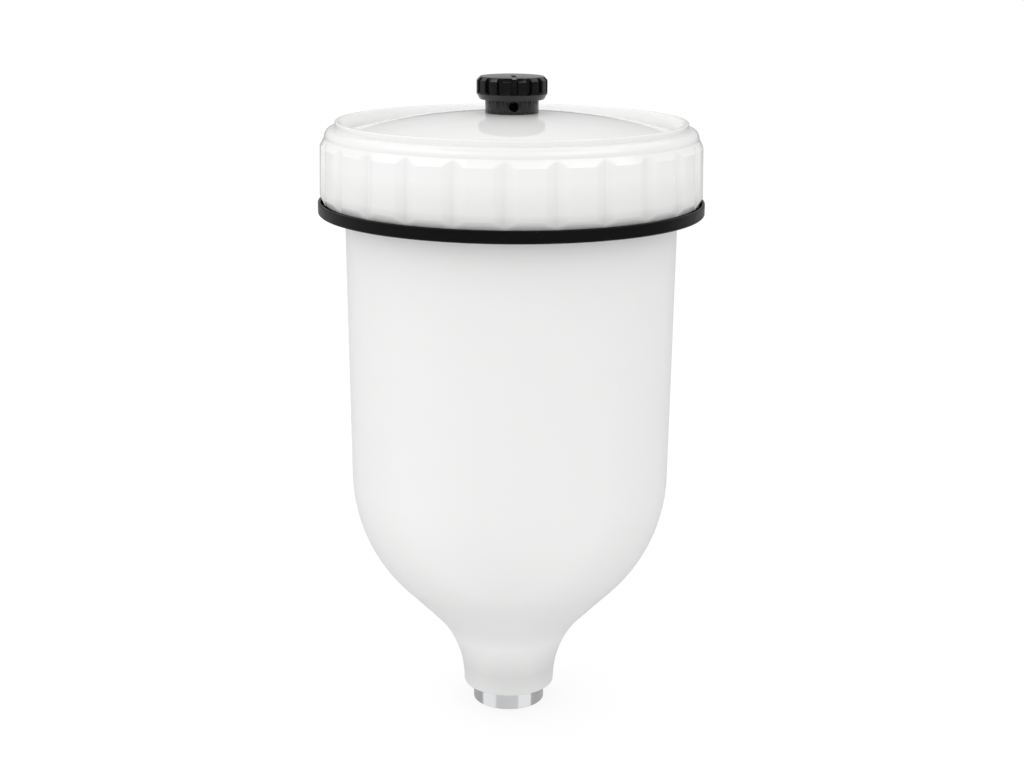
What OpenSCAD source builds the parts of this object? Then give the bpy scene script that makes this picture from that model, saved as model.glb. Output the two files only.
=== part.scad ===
// Gravity paint cup of a spray gun: a translucent cup with a threaded metal outlet, a screw lid, a drip
// ring and a black vent knob that turns to open or close the air hole.
// Frame: Z runs up the cup's axis, X to the right, and the lid's vent hole faces about -Y.
// The origin is the centre of the outlet's bottom face. Lengths are in millimetres, angles in degrees.

/* [Cup] */
// Outer radius of the side wall at the shoulder
cup_r = 44.33; // [40:0.01:48]
// Thickness of the neck around the outlet
neck_wall = 2.7; // [2.2:0.1:4]
// Height of the neck's lower edge
neck_bottom_z = 5.3; // [4:0.1:5.6]
// Rounding of the neck's lower edge
neck_edge_r = 0.5; // [0.2:0.1:1]
// Radius of the hollow curve between neck and funnel
flare_r = 30.7; // [24:0.1:36]
// Slope of the funnel from the vertical
funnel_angle = 44; // [38:0.5:48]
// Rise of the inner floor from the outlet to the funnel
funnel_floor_rise = 3; // [2.5:0.1:4]
// Radius of the round curve between funnel and side wall
belly_r = 44.6; // [38:0.1:48]
// Outward draft of the side wall
wall_draft = 0.57; // [0.2:0.01:1]
// Thickness of the cup's wall
cup_wall = 1.8; // [1.2:0.1:2.2]
// Height of the flat under the collar, which the drip ring is pushed against
shoulder_z = 145; // [135:0.5:160]
// Height of the collar that carries the thread
collar_height = 13; // [12.5:0.1:16]
// Wall thickness of the collar
collar_wall = 2.4; // [1.8:0.1:3]
// How far the collar stands out from the side wall
collar_step = 1.85; // [1.2:0.05:2.2]
// Rounding of the brim
brim_edge_r = 0.6; // [0.2:0.1:0.9]

/* [Outlet] */
// Outer radius of the metal outlet
outlet_r = 10; // [9.5:0.1:10.8]
// Height of the outlet's top face inside the cup
outlet_top_z = 20; // [18:0.5:23]
// Bevel of the outlet's lower edge
outlet_bevel = 0.1; // [0.05:0.05:0.6]
// Wall radius of the threaded bore, the minor radius of M16 x 1.5
thread_bore_r = 7.19; // [6.5:0.01:7.6]
// Depth of the threaded bore
thread_bore_depth = 12; // [9:0.5:13]
// Bevel at the mouth of the threaded bore
thread_lead_in = 0.8; // [0.4:0.1:1.2]
// Radius of the paint passage above the thread
passage_r = 6; // [5:0.1:6.2]
// How far the flange that anchors the outlet stands out into the neck
anchor_step = 1.2; // [0.8:0.1:1.4]
// Distance of the anchoring flange over the neck's lower edge
anchor_rise = 3.7; // [2.5:0.1:5]
// Thickness of the anchoring flange
anchor_thickness = 2.5; // [1.5:0.1:3]

/* [Strainer] */
// Height of the strainer over the outlet's top face
strainer_height = 25.5; // [18:0.5:32]
// Depth of the strainer's plug in the passage
strainer_plug_depth = 4.5; // [3:0.1:6]
// Radius of the strainer's flange
strainer_flange_r = 8.6; // [7.5:0.1:9.5]
// Thickness of the strainer's flange and cap
strainer_plate = 1.3; // [1:0.1:1.8]
// Number of upright ribs in the strainer
strainer_ribs = 6; // [4:1:8]
// Width of an upright rib
strainer_rib_w = 1.2; // [0.8:0.1:1.6]
// Thickness of the strainer's mesh
mesh_thickness = 0.3; // [0.2:0.05:0.5]

/* [Drip ring] */
// Gap between the skirt's lower edge and the ring's outer wall
ring_gap = 0.6; // [0.5:0.05:2]
// Height of the ring's outer wall over its underside
ring_height = 3.25; // [3:0.05:3.6]
// Thickness of the ring's outer wall
ring_wall = 0.8; // [0.6:0.05:0.9]
// Thickness of the ring's floor
ring_floor = 1; // [0.7:0.1:1.3]
// Bevel of the ring's lower outer edge
ring_bevel = 0.3; // [0.1:0.1:1]
// Thickness of the sleeve that grips the cup
ring_sleeve = 1; // [0.8:0.1:1.3]
// Distance of the ring's underside below the shoulder
ring_drop = 4.3; // [3.9:0.1:5]
// Number of ribs in the gutter
ring_ribs = 24; // [12:1:36]
// Thickness of a gutter rib
ring_rib_t = 0.8; // [0.6:0.1:1.2]
// Height of a gutter rib over the floor
ring_rib_h = 1.1; // [0.6:0.1:1.3]

/* [Lid] */
// Thickness of the skirt over its lower bevel
skirt_wall = 2.84; // [2.3:0.01:3.6]
// How much narrower the skirt's upper end is
skirt_taper = 0.3; // [0.1:0.05:0.5]
// Depth that the skirt reaches below the shoulder
skirt_reach = 1.2; // [1:0.1:1.5]
// Width of the bevel under the skirt
skirt_bevel_w = 0.85; // [0.5:0.05:1.1]
// Height of the bevel under the skirt
skirt_bevel_h = 2; // [1.2:0.1:2.6]
// Number of grip grooves around the skirt
grip_grooves = 25; // [20:1:30]
// Angle of the first grip groove from the front
grip_phase = -1.9; // [-7:0.1:7]
// Depth of a grip groove
grip_depth = 0.95; // [0.5:0.05:1.2]
// Half the width of a grip groove
grip_half_w = 2.8; // [1.5:0.05:3.2]
// Height of the bevel over the skirt
top_bevel_h = 2; // [1.5:0.1:2.4]
// Width of the bevel over the skirt
top_bevel_w = 1.15; // [1.1:0.05:1.3]
// Radius of the rounded shoulder between skirt and rim
bead_r = 2.35; // [2:0.05:2.7]
// Height of the plain band under the rounded shoulder
bead_band_h = 0.2; // [0.2:0.05:1.4]
// How far the upright rim stands inside the top of the rounded shoulder
rim_inset = 0.45; // [0.05:0.05:0.7]
// Thickness of the upright rim
rim_wall = 1.2; // [1:0.1:1.6]
// Height of the rim over the rounded shoulder
rim_height = 1.7; // [0.8:0.05:2.4]
// Rounding of the rim's top
rim_edge_r = 0.45; // [0.2:0.05:0.5]
// Fillet between rim and domed top
dome_fillet = 0.7; // [0.4:0.1:1]
// Radius of the domed top
dome_r = 183; // [150:1:260]
// Height of the dome's edge over the gasket's seat
dome_edge_rise = 1.63; // [1.5:0.01:3]
// Thickness of the domed top
dome_wall = 2; // [1.6:0.1:2.4]
// Distance of the gasket's seat above the skirt's upper end
seat_cover = 1; // [0.8:0.1:1.5]
// Width of the seat that lies open inside the gasket
seat_margin = 0.6; // [0.3:0.1:1]

/* [Thread] */
// Pitch of the lid's thread
lid_pitch = 5; // [4.8:0.1:5.5]
// Depth of the thread
thread_depth = 1.4; // [1:0.05:1.5]
// Width of a thread lug at its root
lug_root_w = 2.6; // [2:0.1:2.8]
// Width of a thread lug at its crest
lug_crest_w = 1.2; // [0.8:0.1:1.4]
// Angle that one thread lug covers
lug_arc = 26; // [18:1:30]
// Angle from one thread lug to the next
lug_step = 36; // [36:1:45]
// Height that stays free of lugs under the brim
cup_thread_margin = 0.4; // [0.3:0.05:2]
// Height that stays free of lugs under the gasket's seat
lid_thread_margin = 4.8; // [4:0.1:6]
// Height of the first lug over the shoulder
thread_start = 3.3; // [2.8:0.1:3.4]
// Angle of the lid's first lug past the cup's first lug
lid_lug_lead = 36; // [30:1:42]

/* [Gasket] */
// Thickness of the lid's gasket
gasket_t = 1.5; // [1:0.1:2]
// How far the gasket reaches inwards past the collar's bore
gasket_overhang = 0.8; // [0.3:0.1:1.2]

/* [Vent] */
// Angle of the vent hole from the front, to the right
vent_turn = 4.5; // [-30:0.1:30]
// Radius of the knob's ribbed head
knob_r = 9.4; // [8.5:0.05:10.5]
// Height of the knob's head
knob_head_h = 6.3; // [5.2:0.05:7]
// Width and height of the bevel on top of the head
knob_top_bevel = 1; // [0.5:0.05:1.2]
// Width of the bevel under the head
knob_low_bevel_w = 0.9; // [0.6:0.05:1.5]
// Height of the bevel under the head
knob_low_bevel_h = 1.5; // [1:0.05:2]
// Rise of the head's slightly domed top
knob_crown = 0.4; // [0.1:0.05:0.6]
// Number of ribs around the head
knob_ribs = 15; // [12:1:20]
// Depth of the grooves between the ribs
knob_groove_depth = 0.9; // [0.4:0.05:1]
// Width of a groove at the outside
knob_groove_w = 1.8; // [1:0.05:1.9]
// Width of a groove at its floor
knob_groove_floor_w = 1.3; // [0.5:0.05:1.35]
// Height of the grooves' lower end over the head's underside
knob_groove_rise = 1.5; // [0:0.05:2]
// Radius of the knob's collar
knob_collar_r = 7.05; // [6.4:0.05:7.4]
// Height of the knob's collar
knob_collar_h = 3.4; // [3.3:0.1:4]
// Rounding of the collar's lower edge
knob_edge_r = 0.25; // [0.1:0.05:0.6]
// Radius of the vent hole in the knob's collar
vent_hole_r = 1.3; // [0.9:0.05:1.4]
// Radius of the bevel around the vent hole
vent_bevel_r = 1.75; // [1.5:0.05:1.8]
// Depth of the bevel around the vent hole
vent_bevel_depth = 0.5; // [0.3:0.05:0.8]
// Height of the vent hole over the dome's top
vent_hole_rise = 1.95; // [1.9:0.05:2.2]
// Distance of the index groove's inner end from the knob's axis
index_inner_r = 6; // [1:0.1:7]
// Width of the index groove's inner end
index_inner_w = 1.1; // [0.6:0.05:1.2]
// Width of the index groove's outer end
index_outer_w = 1.3; // [0.8:0.05:1.5]
// Depth of the index groove at the head's edge
index_depth = 0.25; // [0.15:0.05:0.6]
// Radius of the stem where it passes the lid
stem_r = 3; // [2.6:0.1:3.2]
// Radius of the stem's shoulder, on which the knob turns
stem_shoulder_r = 4.5; // [4.2:0.1:4.8]
// Radius of the stem's post over the shoulder
stem_post_r = 3.6; // [3.3:0.05:3.8]
// Height of the stem's shoulder
stem_shoulder_h = 2.6; // [2.5:0.05:2.9]
// Height of the stem's post
stem_post_h = 4; // [3.6:0.1:4.2]
// Radius of the air passage in the stem
stem_air_r = 1.2; // [0.8:0.05:1.3]
// Radius of the stem's side port, which the vent hole meets when the vent is open
stem_port_r = 1.1; // [0.7:0.05:1.2]
// Length of the stem under the lid
stem_tail = 5; // [4.8:0.1:6]
// Thickness of the O-ring
o_ring_d = 0.94; // [0.8:0.02:1]
// Height of the O-ring's centre over the shoulder
o_ring_rise = 1.7; // [1.2:0.1:2.2]
// Thickness of the vent's sealing washer
washer_t = 0.8; // [0.5:0.1:1]
// Depth of the flats that are spot-faced around the stem, over and under the dome
spot_depth = 0.15; // [0.1:0.05:0.3]
// Width of the vent nut across its flats
nut_flats = 9; // [8:0.1:10]
// Thickness of the vent nut
nut_t = 3; // [2.4:0.1:3]
// Outer radius of the splash cap on the stem's lower end
splash_cap_r = 4.6; // [4.2:0.1:5.2]
// Thickness of the splash cap's bottom
splash_cap_floor = 1.2; // [0.8:0.1:1.4]
// Width of the air slots in the splash cap
splash_slot_w = 1.6; // [1:0.1:2]
// Height of the air slots, which is also the stem's height over the cap's bottom
splash_slot_h = 0.9; // [0.6:0.1:1.2]

/* [Fits] */
// Clearance between the moulded cup and its metal outlet
mould_fit = 0.02; // [0.01:0.01:0.05]
// Clearance of a piece that is pushed into its seat
seat_fit = 0.05; // [0.02:0.01:0.1]
// Clearance between a turning piece and what it turns on
running_fit = 0.06; // [0.02:0.01:0.09]
// Clearance between the lid and the cup
lid_clearance = 0.4; // [0.3:0.05:0.5]
// Clearance along the axis between the thread flanks that bear on each other
flank_clearance = 0.3; // [0.2:0.05:0.4]
// Clearance between the stem's steps and the steps inside the knob
stem_end_clearance = 0.3; // [0.2:0.05:0.5]
// Clearance of the O-ring in the knob's bore
o_ring_fit = 0.02; // [0.01:0.01:0.04]
// Clearance of the O-ring over its groove's floor
o_ring_floor_fit = 0.04; // [0.02:0.01:0.06]
// Clearance of the O-ring on each side of its groove
o_ring_side_fit = 0.08; // [0.04:0.01:0.1]

/* [Hidden] */
// Fineness of small round shapes, and of those that are turned about the cup's axis
$fn = 96;
turned_fn = 180;
// Steps in an outline's curve, in its rounded edges and in a dome
curve_steps = 10;
edge_steps = 4;
dome_steps = 16;
// Margin by which a cut runs past a face
over = 1;
// Depth by which a lug or rib is rooted in the wall that carries it
lug_root_depth = 0.4;
rib_root_depth = 0.3;

// Outline of the cup: centres and ends of its curves
neck_r = outlet_r + neck_wall;
anchor_r = outlet_r + anchor_step;
anchor_z = neck_bottom_z + anchor_rise;
flare_c = [neck_r + flare_r, neck_bottom_z + neck_edge_r];
flare_end = flare_c + flare_r * [-cos(funnel_angle), sin(funnel_angle)];
belly_run = belly_r * [cos(wall_draft) - cos(funnel_angle), sin(funnel_angle) - sin(wall_draft)];
bend = flare_end + belly_run;
funnel_slope = sin(funnel_angle) - cos(funnel_angle) * tan(wall_draft);
funnel_length = (cup_r - bend[0] - (shoulder_z - bend[1]) * tan(wall_draft)) / funnel_slope;
funnel_end = flare_end + funnel_length * [sin(funnel_angle), cos(funnel_angle)];
belly_c = funnel_end + belly_r * [-cos(funnel_angle), sin(funnel_angle)];
belly_end = belly_c + belly_r * [cos(wall_draft), -sin(wall_draft)];
brim_z = shoulder_z + collar_height;
collar_r = cup_r + collar_step;
collar_bore_r = collar_r - collar_wall;
side_bore_r = cup_r - cup_wall / cos(wall_draft);
funnel_floor_z = outlet_top_z + funnel_floor_rise;
funnel_floor_angle = asin((funnel_floor_z - flare_c[1]) / (flare_r + cup_wall));

// Strainer
strainer_plug_r = passage_r - seat_fit;
strainer_bore_r = strainer_plug_r - strainer_plate;
mesh_r = strainer_bore_r + mesh_thickness;
strainer_top_z = outlet_top_z + strainer_height;
strainer_plug_h = strainer_plug_depth + strainer_plate;

// Thread
cup_crest_r = collar_r + thread_depth;
lid_bore_r = cup_crest_r + lid_clearance;
lid_crest_r = collar_r + lid_clearance;
flank_run = (lug_root_w - lug_crest_w) / 2 / thread_depth;
lug_gap = lug_root_w - flank_run * (lid_bore_r - collar_r);
cup_thread_z = shoulder_z + thread_start;
lid_thread_z = cup_thread_z - lug_gap - flank_clearance;
helix_angle = atan(lid_pitch / (2 * PI * (collar_r + thread_depth / 2)));

// Gasket and its seat in the lid
gasket_z = brim_z + seat_fit;
gasket_r = lid_bore_r - lid_clearance;
gasket_bore_r = collar_bore_r - gasket_overhang;
seat_z = gasket_z + gasket_t + seat_fit;
seat_r = gasket_bore_r - seat_margin;

// Lugs that fit on the collar and in the lid
lug_rise = lid_pitch * lug_step / 360;
lug_half_height = lug_root_w / 2 + flank_run * lug_root_depth + lid_pitch * lug_arc / 720;
cup_thread_h = brim_z - cup_thread_margin - lug_half_height - cup_thread_z;
cup_lugs = 1 + floor(cup_thread_h / lug_rise);
lid_thread_h = seat_z - lid_thread_margin - lug_half_height - lid_thread_z;
lid_lugs = 1 + floor(lid_thread_h / lug_rise - lid_lug_lead / lug_step);

// Lid
skirt_z = shoulder_z - skirt_reach;
skirt_r = lid_bore_r + skirt_wall;
skirt_top_r = skirt_r - skirt_taper;
top_bevel_z = seat_z - seat_cover;
band_r = skirt_top_r - top_bevel_w;
band_z = top_bevel_z + top_bevel_h;
bead_c = [band_r - bead_r, band_z + bead_band_h];
rim_r = bead_c[0] - rim_inset;
rim_z = bead_c[1] + bead_r;
rim_edge_z = rim_z + rim_height - rim_edge_r;
dome_edge_r = rim_r - rim_wall;
dome_z = seat_z + dome_edge_rise + dome_r - sqrt(dome_r * dome_r - dome_edge_r * dome_edge_r);
dome_end_r = dome_edge_r - dome_fillet;
skirt_draft = atan(skirt_taper / (top_bevel_z - skirt_z - skirt_bevel_h));

// Drip ring
ring_z = shoulder_z - ring_drop;
ring_lip_z = ring_z + ring_height;
ring_r = skirt_r - skirt_bevel_w + ring_gap + ring_wall;
ring_floor_z = ring_z + ring_floor;
ring_top_z = shoulder_z - seat_fit;
ring_top_bore_r = side_r(ring_top_z) + seat_fit;
ring_sleeve_r = ring_top_bore_r + ring_sleeve;

// Vent stem and nut
hex_half_angle = 30;
nut_corner_r = nut_flats / 2 / cos(hex_half_angle);
washer_z = dome_z - spot_depth;
stem_shoulder_z = washer_z + washer_t;
post_z = stem_shoulder_z + stem_shoulder_h;
stem_top_z = post_z + stem_post_h;
vent_z = dome_z + vent_hole_rise;
nut_top_z = dome_z - dome_wall - spot_depth;
nut_z = nut_top_z - nut_t;
stem_bottom_z = nut_top_z - stem_tail;
splash_cap_z = stem_bottom_z - splash_cap_floor - splash_slot_h;
splash_cap_h = nut_z - seat_fit - splash_cap_z;

// Vent knob
knob_z = dome_z + seat_fit;
head_z = knob_z + knob_collar_h;
head_top_z = head_z + knob_head_h;
head_edge_z = head_top_z - knob_crown;
head_top_r = knob_r - knob_top_bevel;
knob_bore_r = stem_shoulder_r + running_fit;
post_bore_r = stem_post_r + running_fit;
o_ring_r = post_bore_r - o_ring_fit - o_ring_d / 2;

// Points along a round stretch, from angle a to angle b about centre c
function arc(c, r, a, b, steps = edge_steps) =
    [for (i = [0:steps]) let (t = a + (b - a) * i / steps) c + r * [cos(t), sin(t)]];

// Radius of the cup's outside at a height on its drafted side
function side_r(z) = belly_end[0] + (z - belly_end[1]) * tan(wall_draft);

// Curved part of the cup's outline, moved inwards by a wall
function cup_curve(wall, first_angle) = concat(
    arc(flare_c, flare_r + wall, 180 - first_angle, 180 - funnel_angle, curve_steps),
    arc(belly_c, belly_r - wall, -funnel_angle, -wall_draft, 2 * curve_steps)
);

// Height at a radius on a dome whose top lies at z
function dome_height(r, z, radius) = z - radius + sqrt(radius * radius - r * r);

// Points on a dome whose top lies at z, from one radius to another
function dome_points(from, to, z, radius) =
    [for (i = [0:dome_steps]) let (r = from + (to - from) * i / dome_steps) [r, dome_height(r, z, radius)]];

// Solid of revolution about the cup's axis
module turned(points) {
    rotate_extrude($fn = turned_fn)
        polygon(points);
}

// Ring with a plain bore
module tube(outer, inner, z, h) {
    translate([0, 0, z])
        difference() {
            cylinder(r = outer, h = h);
            translate([0, 0, -over])
                cylinder(r = inner, h = h + 2 * over);
        }
}

// Lugs of an interrupted thread that climbs to the right
module thread_lugs(root_r, crest_r, z, first_angle, count) {
    buried = sign(root_r - crest_r) * lug_root_depth;
    slope = (lug_root_w - lug_crest_w) / 2 / abs(root_r - crest_r);
    half_root = lug_root_w / 2 + slope * lug_root_depth;
    for (i = [0:count - 1]) {
        turn = first_angle + i * lug_step;
        rotate([0, 0, turn])
            translate([0, 0, z + lid_pitch * turn / 360])
                rotate([helix_angle, 0, 0])
                    rotate([0, 0, -lug_arc / 2])
                        rotate_extrude(angle = lug_arc, $fn = turned_fn)
                            polygon([
                                [root_r + buried, -half_root],
                                [crest_r, -lug_crest_w / 2],
                                [crest_r, lug_crest_w / 2],
                                [root_r + buried, half_root]
                            ]);
    }
}

// Translucent cup with its neck, funnel, threaded collar and the moulded seat of the outlet
module cup_body() {
    outside = concat(
        [[0, neck_bottom_z]],
        arc([neck_r - neck_edge_r, neck_bottom_z + neck_edge_r], neck_edge_r, -90, 0),
        cup_curve(0, 0),
        [[cup_r, shoulder_z], [collar_r, shoulder_z]],
        arc([collar_r - brim_edge_r, brim_z - brim_edge_r], brim_edge_r, 0, 90),
        [[0, brim_z]]
    );
    inside = concat(
        [[0, outlet_top_z], [anchor_r, outlet_top_z]],
        cup_curve(cup_wall, funnel_floor_angle),
        [[side_bore_r, shoulder_z], [collar_bore_r, shoulder_z + collar_wall]],
        [[collar_bore_r, brim_z + over], [0, brim_z + over]]
    );
    color([0.95, 0.95, 0.94, 0.9])
        difference() {
            union() {
                turned(outside);
                thread_lugs(collar_r, cup_crest_r, cup_thread_z, 0, cup_lugs);
            }
            turned(inside);
            cylinder(r = outlet_r + mould_fit, h = outlet_top_z + over);
            translate([0, 0, anchor_z - mould_fit])
                cylinder(r = anchor_r + mould_fit, h = anchor_thickness + 2 * mould_fit);
        }
}

// Metal outlet with its threaded bore, moulded into the neck
module outlet_fitting() {
    color([0.8, 0.8, 0.82])
        difference() {
            union() {
                cylinder(r1 = outlet_r - outlet_bevel, r2 = outlet_r, h = outlet_bevel);
                translate([0, 0, outlet_bevel])
                    cylinder(r = outlet_r, h = outlet_top_z - outlet_bevel);
                translate([0, 0, anchor_z])
                    cylinder(r = anchor_r, h = anchor_thickness);
            }
            translate([0, 0, -over])
                cylinder(r = passage_r, h = outlet_top_z + 2 * over);
            cylinder(r = thread_bore_r, h = thread_bore_depth);
            translate([0, 0, thread_bore_depth])
                cylinder(r1 = thread_bore_r, r2 = passage_r, h = thread_bore_r - passage_r);
            cylinder(r1 = thread_bore_r + thread_lead_in, r2 = thread_bore_r, h = thread_lead_in);
        }
}

// Plug, flange, ribs and cap of the strainer
module strainer_frame() {
    color([0.85, 0.86, 0.84])
        union() {
            tube(strainer_plug_r, strainer_bore_r, outlet_top_z - strainer_plug_depth, strainer_plug_h);
            tube(strainer_flange_r, strainer_bore_r, outlet_top_z, strainer_plate);
            translate([0, 0, strainer_top_z - strainer_plate])
                cylinder(r = strainer_plug_r, h = strainer_plate);
            intersection() {
                tube(strainer_plug_r, mesh_r, outlet_top_z, strainer_height);
                for (i = [0:strainer_ribs - 1])
                    rotate([0, 0, i * 360 / strainer_ribs])
                        translate([0, -strainer_rib_w / 2, outlet_top_z])
                            cube([strainer_plug_r + over, strainer_rib_w, strainer_height]);
            }
        }
}

// Fine mesh inside the strainer's ribs
module strainer_mesh() {
    color([0.7, 0.7, 0.7])
        tube(mesh_r, strainer_bore_r, outlet_top_z + strainer_plate, strainer_height - 2 * strainer_plate);
}

// Black ring with an open gutter that catches drips from the lid
module drip_ring() {
    lip_r = ring_wall / 2;
    rib_length = ring_r - ring_wall - ring_sleeve_r + 2 * rib_root_depth;
    rib_corner = [ring_sleeve_r - rib_root_depth, -ring_rib_t / 2, ring_floor_z - rib_root_depth];
    color([0.03, 0.03, 0.03])
        union() {
            turned(concat(
                [[side_r(ring_z) + seat_fit, ring_z], [ring_r - ring_bevel, ring_z]],
                [[ring_r, ring_z + ring_bevel]],
                arc([ring_r - lip_r, ring_lip_z - lip_r], lip_r, 0, 180, 2 * edge_steps),
                [[ring_r - ring_wall, ring_floor_z], [ring_sleeve_r, ring_floor_z]],
                [[ring_sleeve_r, ring_top_z], [ring_top_bore_r, ring_top_z]]
            ));
            for (i = [0:ring_ribs - 1])
                rotate([0, 0, (i + 0.5) * 360 / ring_ribs])
                    translate(rib_corner)
                        cube([rib_length, ring_rib_t, ring_rib_h + rib_root_depth]);
        }
}

// Flat gasket between the lid and the brim
module lid_gasket() {
    color([0.88, 0.88, 0.86])
        tube(gasket_r, gasket_bore_r, gasket_z, gasket_t);
}

// One grip groove in the skirt, in the plane of +X
module grip_groove() {
    opening = grip_half_w * (grip_depth + over) / grip_depth;
    translate([skirt_r - grip_depth, 0, skirt_z + skirt_bevel_h])
        rotate([0, -skirt_draft, 0])
            translate([0, 0, -skirt_bevel_h - over])
                linear_extrude(band_z - skirt_z + 2 * over)
                    polygon([[0, 0], [grip_depth + over, -opening], [grip_depth + over, opening]]);
}

// Screw lid with its grooved skirt, rounded shoulder, upright rim and domed top
module lid() {
    fillet_c = [dome_end_r, dome_height(dome_end_r, dome_z, dome_r) + dome_fillet];
    outline = concat(
        [[lid_bore_r + lug_root_depth, skirt_z], [skirt_r - skirt_bevel_w, skirt_z]],
        [[skirt_r, skirt_z + skirt_bevel_h], [skirt_top_r, top_bevel_z], [band_r, band_z]],
        arc(bead_c, bead_r, 0, 90, curve_steps),
        [[rim_r, rim_z]],
        arc([rim_r - rim_edge_r, rim_edge_z], rim_edge_r, 0, 90),
        arc([dome_edge_r + rim_edge_r, rim_edge_z], rim_edge_r, 90, 180),
        arc(fillet_c, dome_fillet, 0, -90),
        dome_points(dome_end_r, 0, dome_z, dome_r),
        dome_points(0, seat_r, dome_z - dome_wall, dome_r - dome_wall),
        [[seat_r, seat_z], [lid_bore_r, seat_z], [lid_bore_r, skirt_z + lug_root_depth]]
    );
    color([0.95, 0.95, 0.94, 0.9])
        difference() {
            union() {
                turned(outline);
                thread_lugs(lid_bore_r, lid_crest_r, lid_thread_z, lid_lug_lead, lid_lugs);
            }
            for (i = [0:grip_grooves - 1])
                rotate([0, 0, -90 + grip_phase + i * 360 / grip_grooves])
                    grip_groove();
            translate([0, 0, stem_bottom_z])
                cylinder(r = stem_r + seat_fit, h = stem_top_z - stem_bottom_z);
            translate([0, 0, washer_z])
                cylinder(r = knob_bore_r, h = over);
            translate([0, 0, nut_top_z - over])
                cylinder(r = nut_corner_r + seat_margin, h = over);
        }
}

// Soft washer that seals the stem's shoulder on the lid
module vent_washer() {
    color([0.05, 0.05, 0.05])
        tube(stem_shoulder_r, stem_r + seat_fit, washer_z, washer_t);
}

// Fixed hollow stem of the vent, with its side port towards the vent hole
module vent_stem() {
    groove_w = o_ring_d + 2 * o_ring_side_fit;
    groove_r = o_ring_r - o_ring_d / 2 - o_ring_floor_fit;
    color([0.1, 0.1, 0.1])
        rotate([0, 0, vent_turn])
            difference() {
                union() {
                    translate([0, 0, stem_bottom_z])
                        cylinder(r = stem_r, h = post_z - stem_bottom_z);
                    translate([0, 0, stem_shoulder_z])
                        cylinder(r = stem_shoulder_r, h = stem_shoulder_h);
                    translate([0, 0, post_z])
                        cylinder(r = stem_post_r, h = stem_post_h);
                }
                tube(stem_post_r + over, groove_r, post_z + o_ring_rise - groove_w / 2, groove_w);
                translate([0, 0, stem_bottom_z - over])
                    cylinder(r = stem_air_r, h = vent_z - stem_bottom_z + over);
                translate([0, 0, vent_z])
                    rotate([90, 0, 0])
                        cylinder(r = stem_port_r, h = stem_shoulder_r + over);
            }
}

// Hexagon nut that clamps the stem under the lid
module vent_nut() {
    color([0.12, 0.12, 0.12])
        translate([0, 0, nut_z])
            difference() {
                cylinder(r = nut_corner_r, h = nut_t, $fn = 6);
                translate([0, 0, -over])
                    cylinder(r = stem_r + seat_fit, h = nut_t + 2 * over);
            }
}

// Cap on the stem's lower end, whose side slots let air in and keep splashes out
module splash_cap() {
    bottom_z = splash_cap_z + splash_cap_floor;
    color([0.9, 0.9, 0.88])
        difference() {
            translate([0, 0, splash_cap_z])
                cylinder(r = splash_cap_r, h = splash_cap_h);
            translate([0, 0, bottom_z])
                cylinder(r = stem_r + seat_fit, h = splash_cap_h);
            translate([-splash_slot_w / 2, -splash_cap_r - over, bottom_z])
                cube([splash_slot_w, 2 * (splash_cap_r + over), splash_slot_h]);
        }
}

// O-ring that seals and holds the knob on the stem's post
module vent_o_ring() {
    color([0.02, 0.02, 0.02])
        translate([0, 0, post_z + o_ring_rise])
            rotate_extrude()
                translate([o_ring_r, 0])
                    circle(d = o_ring_d);
}

// One groove between two ribs of the knob's head, in the plane of +X
module knob_groove() {
    widening = (knob_groove_w - knob_groove_floor_w) / knob_groove_depth;
    half_floor = knob_groove_floor_w / 2;
    half_opening = half_floor + widening * (knob_groove_depth + over) / 2;
    reach = knob_groove_depth + over;
    translate([knob_r - knob_groove_depth, 0, head_z + knob_groove_rise])
        linear_extrude(knob_head_h)
            polygon([[0, -half_floor], [reach, -half_opening], [reach, half_opening], [0, half_floor]]);
}

// Hole in the collar's front with its bevel, which meets the stem's port when the vent is open
module vent_hole() {
    translate([0, 0, vent_z])
        rotate([90, 0, 0])
            cylinder(r = vent_hole_r, h = knob_collar_r + over);
    translate([0, vent_bevel_depth - knob_collar_r, vent_z])
        rotate([90, 0, 0])
            cylinder(r1 = vent_hole_r, r2 = 2 * vent_bevel_r - vent_hole_r, h = 2 * vent_bevel_depth);
}

// Groove in the head's top that points to the vent hole's side
module index_groove() {
    inner = index_inner_w / 2;
    outer = index_outer_w / 2;
    translate([0, 0, head_edge_z - index_depth])
        linear_extrude(index_depth + over)
            polygon([[-inner, -index_inner_r], [inner, -index_inner_r], [outer, -knob_r], [-outer, -knob_r]]);
}

// Ribbed knob with its collar, vent hole and index groove
module vent_knob() {
    crown_r = head_top_r / sin(2 * atan(knob_crown / head_top_r));
    outline = concat(
        [[0, knob_z]],
        arc([knob_collar_r - knob_edge_r, knob_z + knob_edge_r], knob_edge_r, -90, 0),
        [[knob_collar_r, head_z], [knob_r - knob_low_bevel_w, head_z]],
        [[knob_r, head_z + knob_low_bevel_h], [knob_r, head_edge_z - knob_top_bevel]],
        dome_points(head_top_r, 0, head_top_z, crown_r)
    );
    color([0.04, 0.04, 0.04])
        rotate([0, 0, vent_turn])
            difference() {
                turned(outline);
                for (i = [0:knob_ribs - 1])
                    rotate([0, 0, -90 + i * 360 / knob_ribs])
                        knob_groove();
                translate([0, 0, knob_z - over])
                    cylinder(r = knob_bore_r, h = post_z + stem_end_clearance - knob_z + over);
                translate([0, 0, knob_z])
                    cylinder(r = post_bore_r, h = stem_top_z + stem_end_clearance - knob_z);
                vent_hole();
                index_groove();
            }
}

cup_body();
outlet_fitting();
strainer_frame();
strainer_mesh();
drip_ring();
lid_gasket();
lid();
vent_washer();
vent_stem();
vent_nut();
splash_cap();
vent_o_ring();
vent_knob();
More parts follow.
